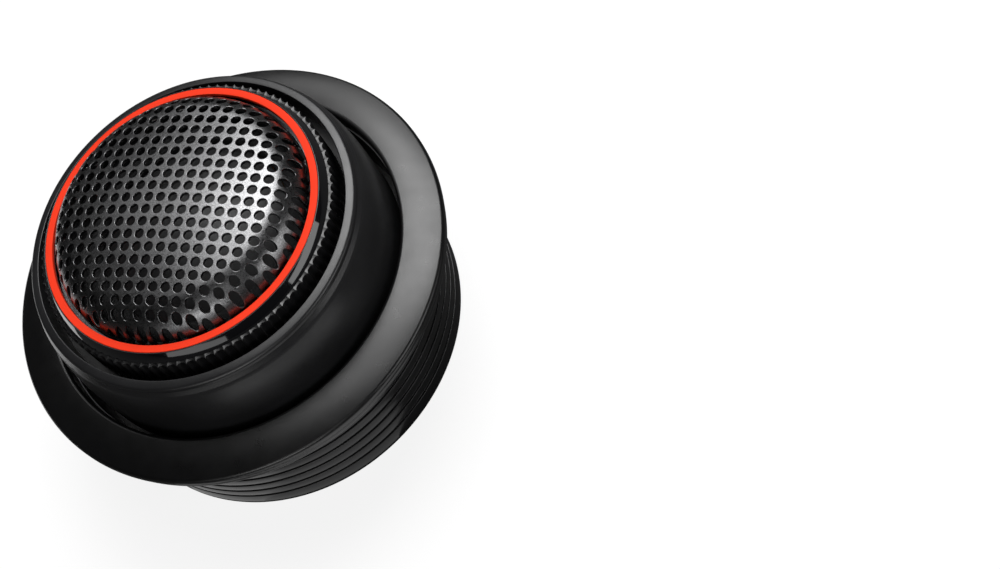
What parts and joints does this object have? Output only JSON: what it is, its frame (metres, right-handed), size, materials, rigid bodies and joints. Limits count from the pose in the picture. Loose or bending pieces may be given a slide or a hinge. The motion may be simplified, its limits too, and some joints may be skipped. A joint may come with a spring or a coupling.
{
  "type": "car tweeter",
  "caption": "Flush-mount car tweeter with a domed perforated grille, an orange accent ring and a capsule that swivels in a flanged cup.",
  "frame": {"origin": "centre of the cup's rear face", "axes": "+Z along the axis, out of the grille; X and Y along the rows of grille holes; the swivel tilts about X"},
  "size_m": [0.06, 0.06, 0.038],
  "materials": {
    "cup_plastic": "fine moulded texture, satin",
    "trim_plastic": "soft-touch satin black",
    "foam": "closed-cell foam",
    "spring_steel": "blued spring steel",
    "black_screw": "black oxide",
    "rubber": "soft matt rubber",
    "circuit_board": "solder-masked fibreglass",
    "capacitor_sleeve": "shrink sleeve",
    "zinc_screw": "zinc plated",
    "nylon": "natural nylon",
    "collar_plastic": "satin black moulding",
    "inner_plastic": "plain moulding",
    "knurl_plastic": "matt black with a scalloped edge",
    "piano_black": "high gloss",
    "accent_orange": "flat orange-red paint",
    "grille_metal": "gunmetal lacquer with fine grain",
    "surround_cloth": "doped cloth",
    "yoke_steel": "zinc plated low-carbon steel",
    "magnet_nickel": "nickel plated neodymium",
    "felt": "pressed felt",
    "phenolic": "paper laminate",
    "tab_brass": "tinned brass",
    "dome_film": "satin metallised film",
    "kapton": "polyimide film",
    "copper_wire": "enamelled copper-clad wire"
  },
  "bodies": {
    "cup": {"mounting_cup": "cup_plastic", "trim_ring": "trim_plastic", "panel_gasket": "foam", "snap_ring": "spring_steel", "rear_cover": "cup_plastic", "cover_screws": "black_screw", "wire_grommet": "rubber", "filter_board": "circuit_board", "filter_capacitor": "capacitor_sleeve", "board_screws": "zinc_screw"},
    "liner": {"friction_liner": "nylon"},
    "swivel": {"swivel_collar": "collar_plastic", "swivel_ball": "inner_plastic"},
    "capsule": {"capsule_housing": "knurl_plastic", "gloss_bezel": "piano_black", "accent_ring": "accent_orange", "grille": "grille_metal", "dispersion_ring": "inner_plastic", "surround_frame": "inner_plastic", "surround": "surround_cloth", "yoke_cup": "yoke_steel", "magnet": "magnet_nickel", "pole_plate": "yoke_steel", "damping_pad": "felt", "terminal_plate": "phenolic", "terminal_tabs": "tab_brass"},
    "diaphragm": {"dome": "dome_film", "coil_former": "kapton", "voice_coil": "copper_wire"}
  },
  "joints": [
    {"name": "swivel_turn", "type": "hinge", "parent": "cup", "child": "liner", "pos_m": [0, 0, 0.017], "axis": [0, 0, 1], "continuous": true},
    {"name": "swivel_tilt", "type": "hinge", "parent": "liner", "child": "swivel", "pos_m": [0, 0, 0.017], "axis": [1, 0, 0], "range_deg": [-10, 10]},
    {"name": "capsule_twist", "type": "hinge", "parent": "swivel", "child": "capsule", "pos_m": [0, 0, 0.017], "axis": [0, 0, 1], "range_deg": [0, 25]},
    {"name": "dome_travel", "type": "slide", "parent": "capsule", "child": "diaphragm", "axis": [0, 0, 1], "range_m": [-0.0004, 0.0004], "stiffness_N_per_m": 800, "deforming": ["surround"]}
  ]
}
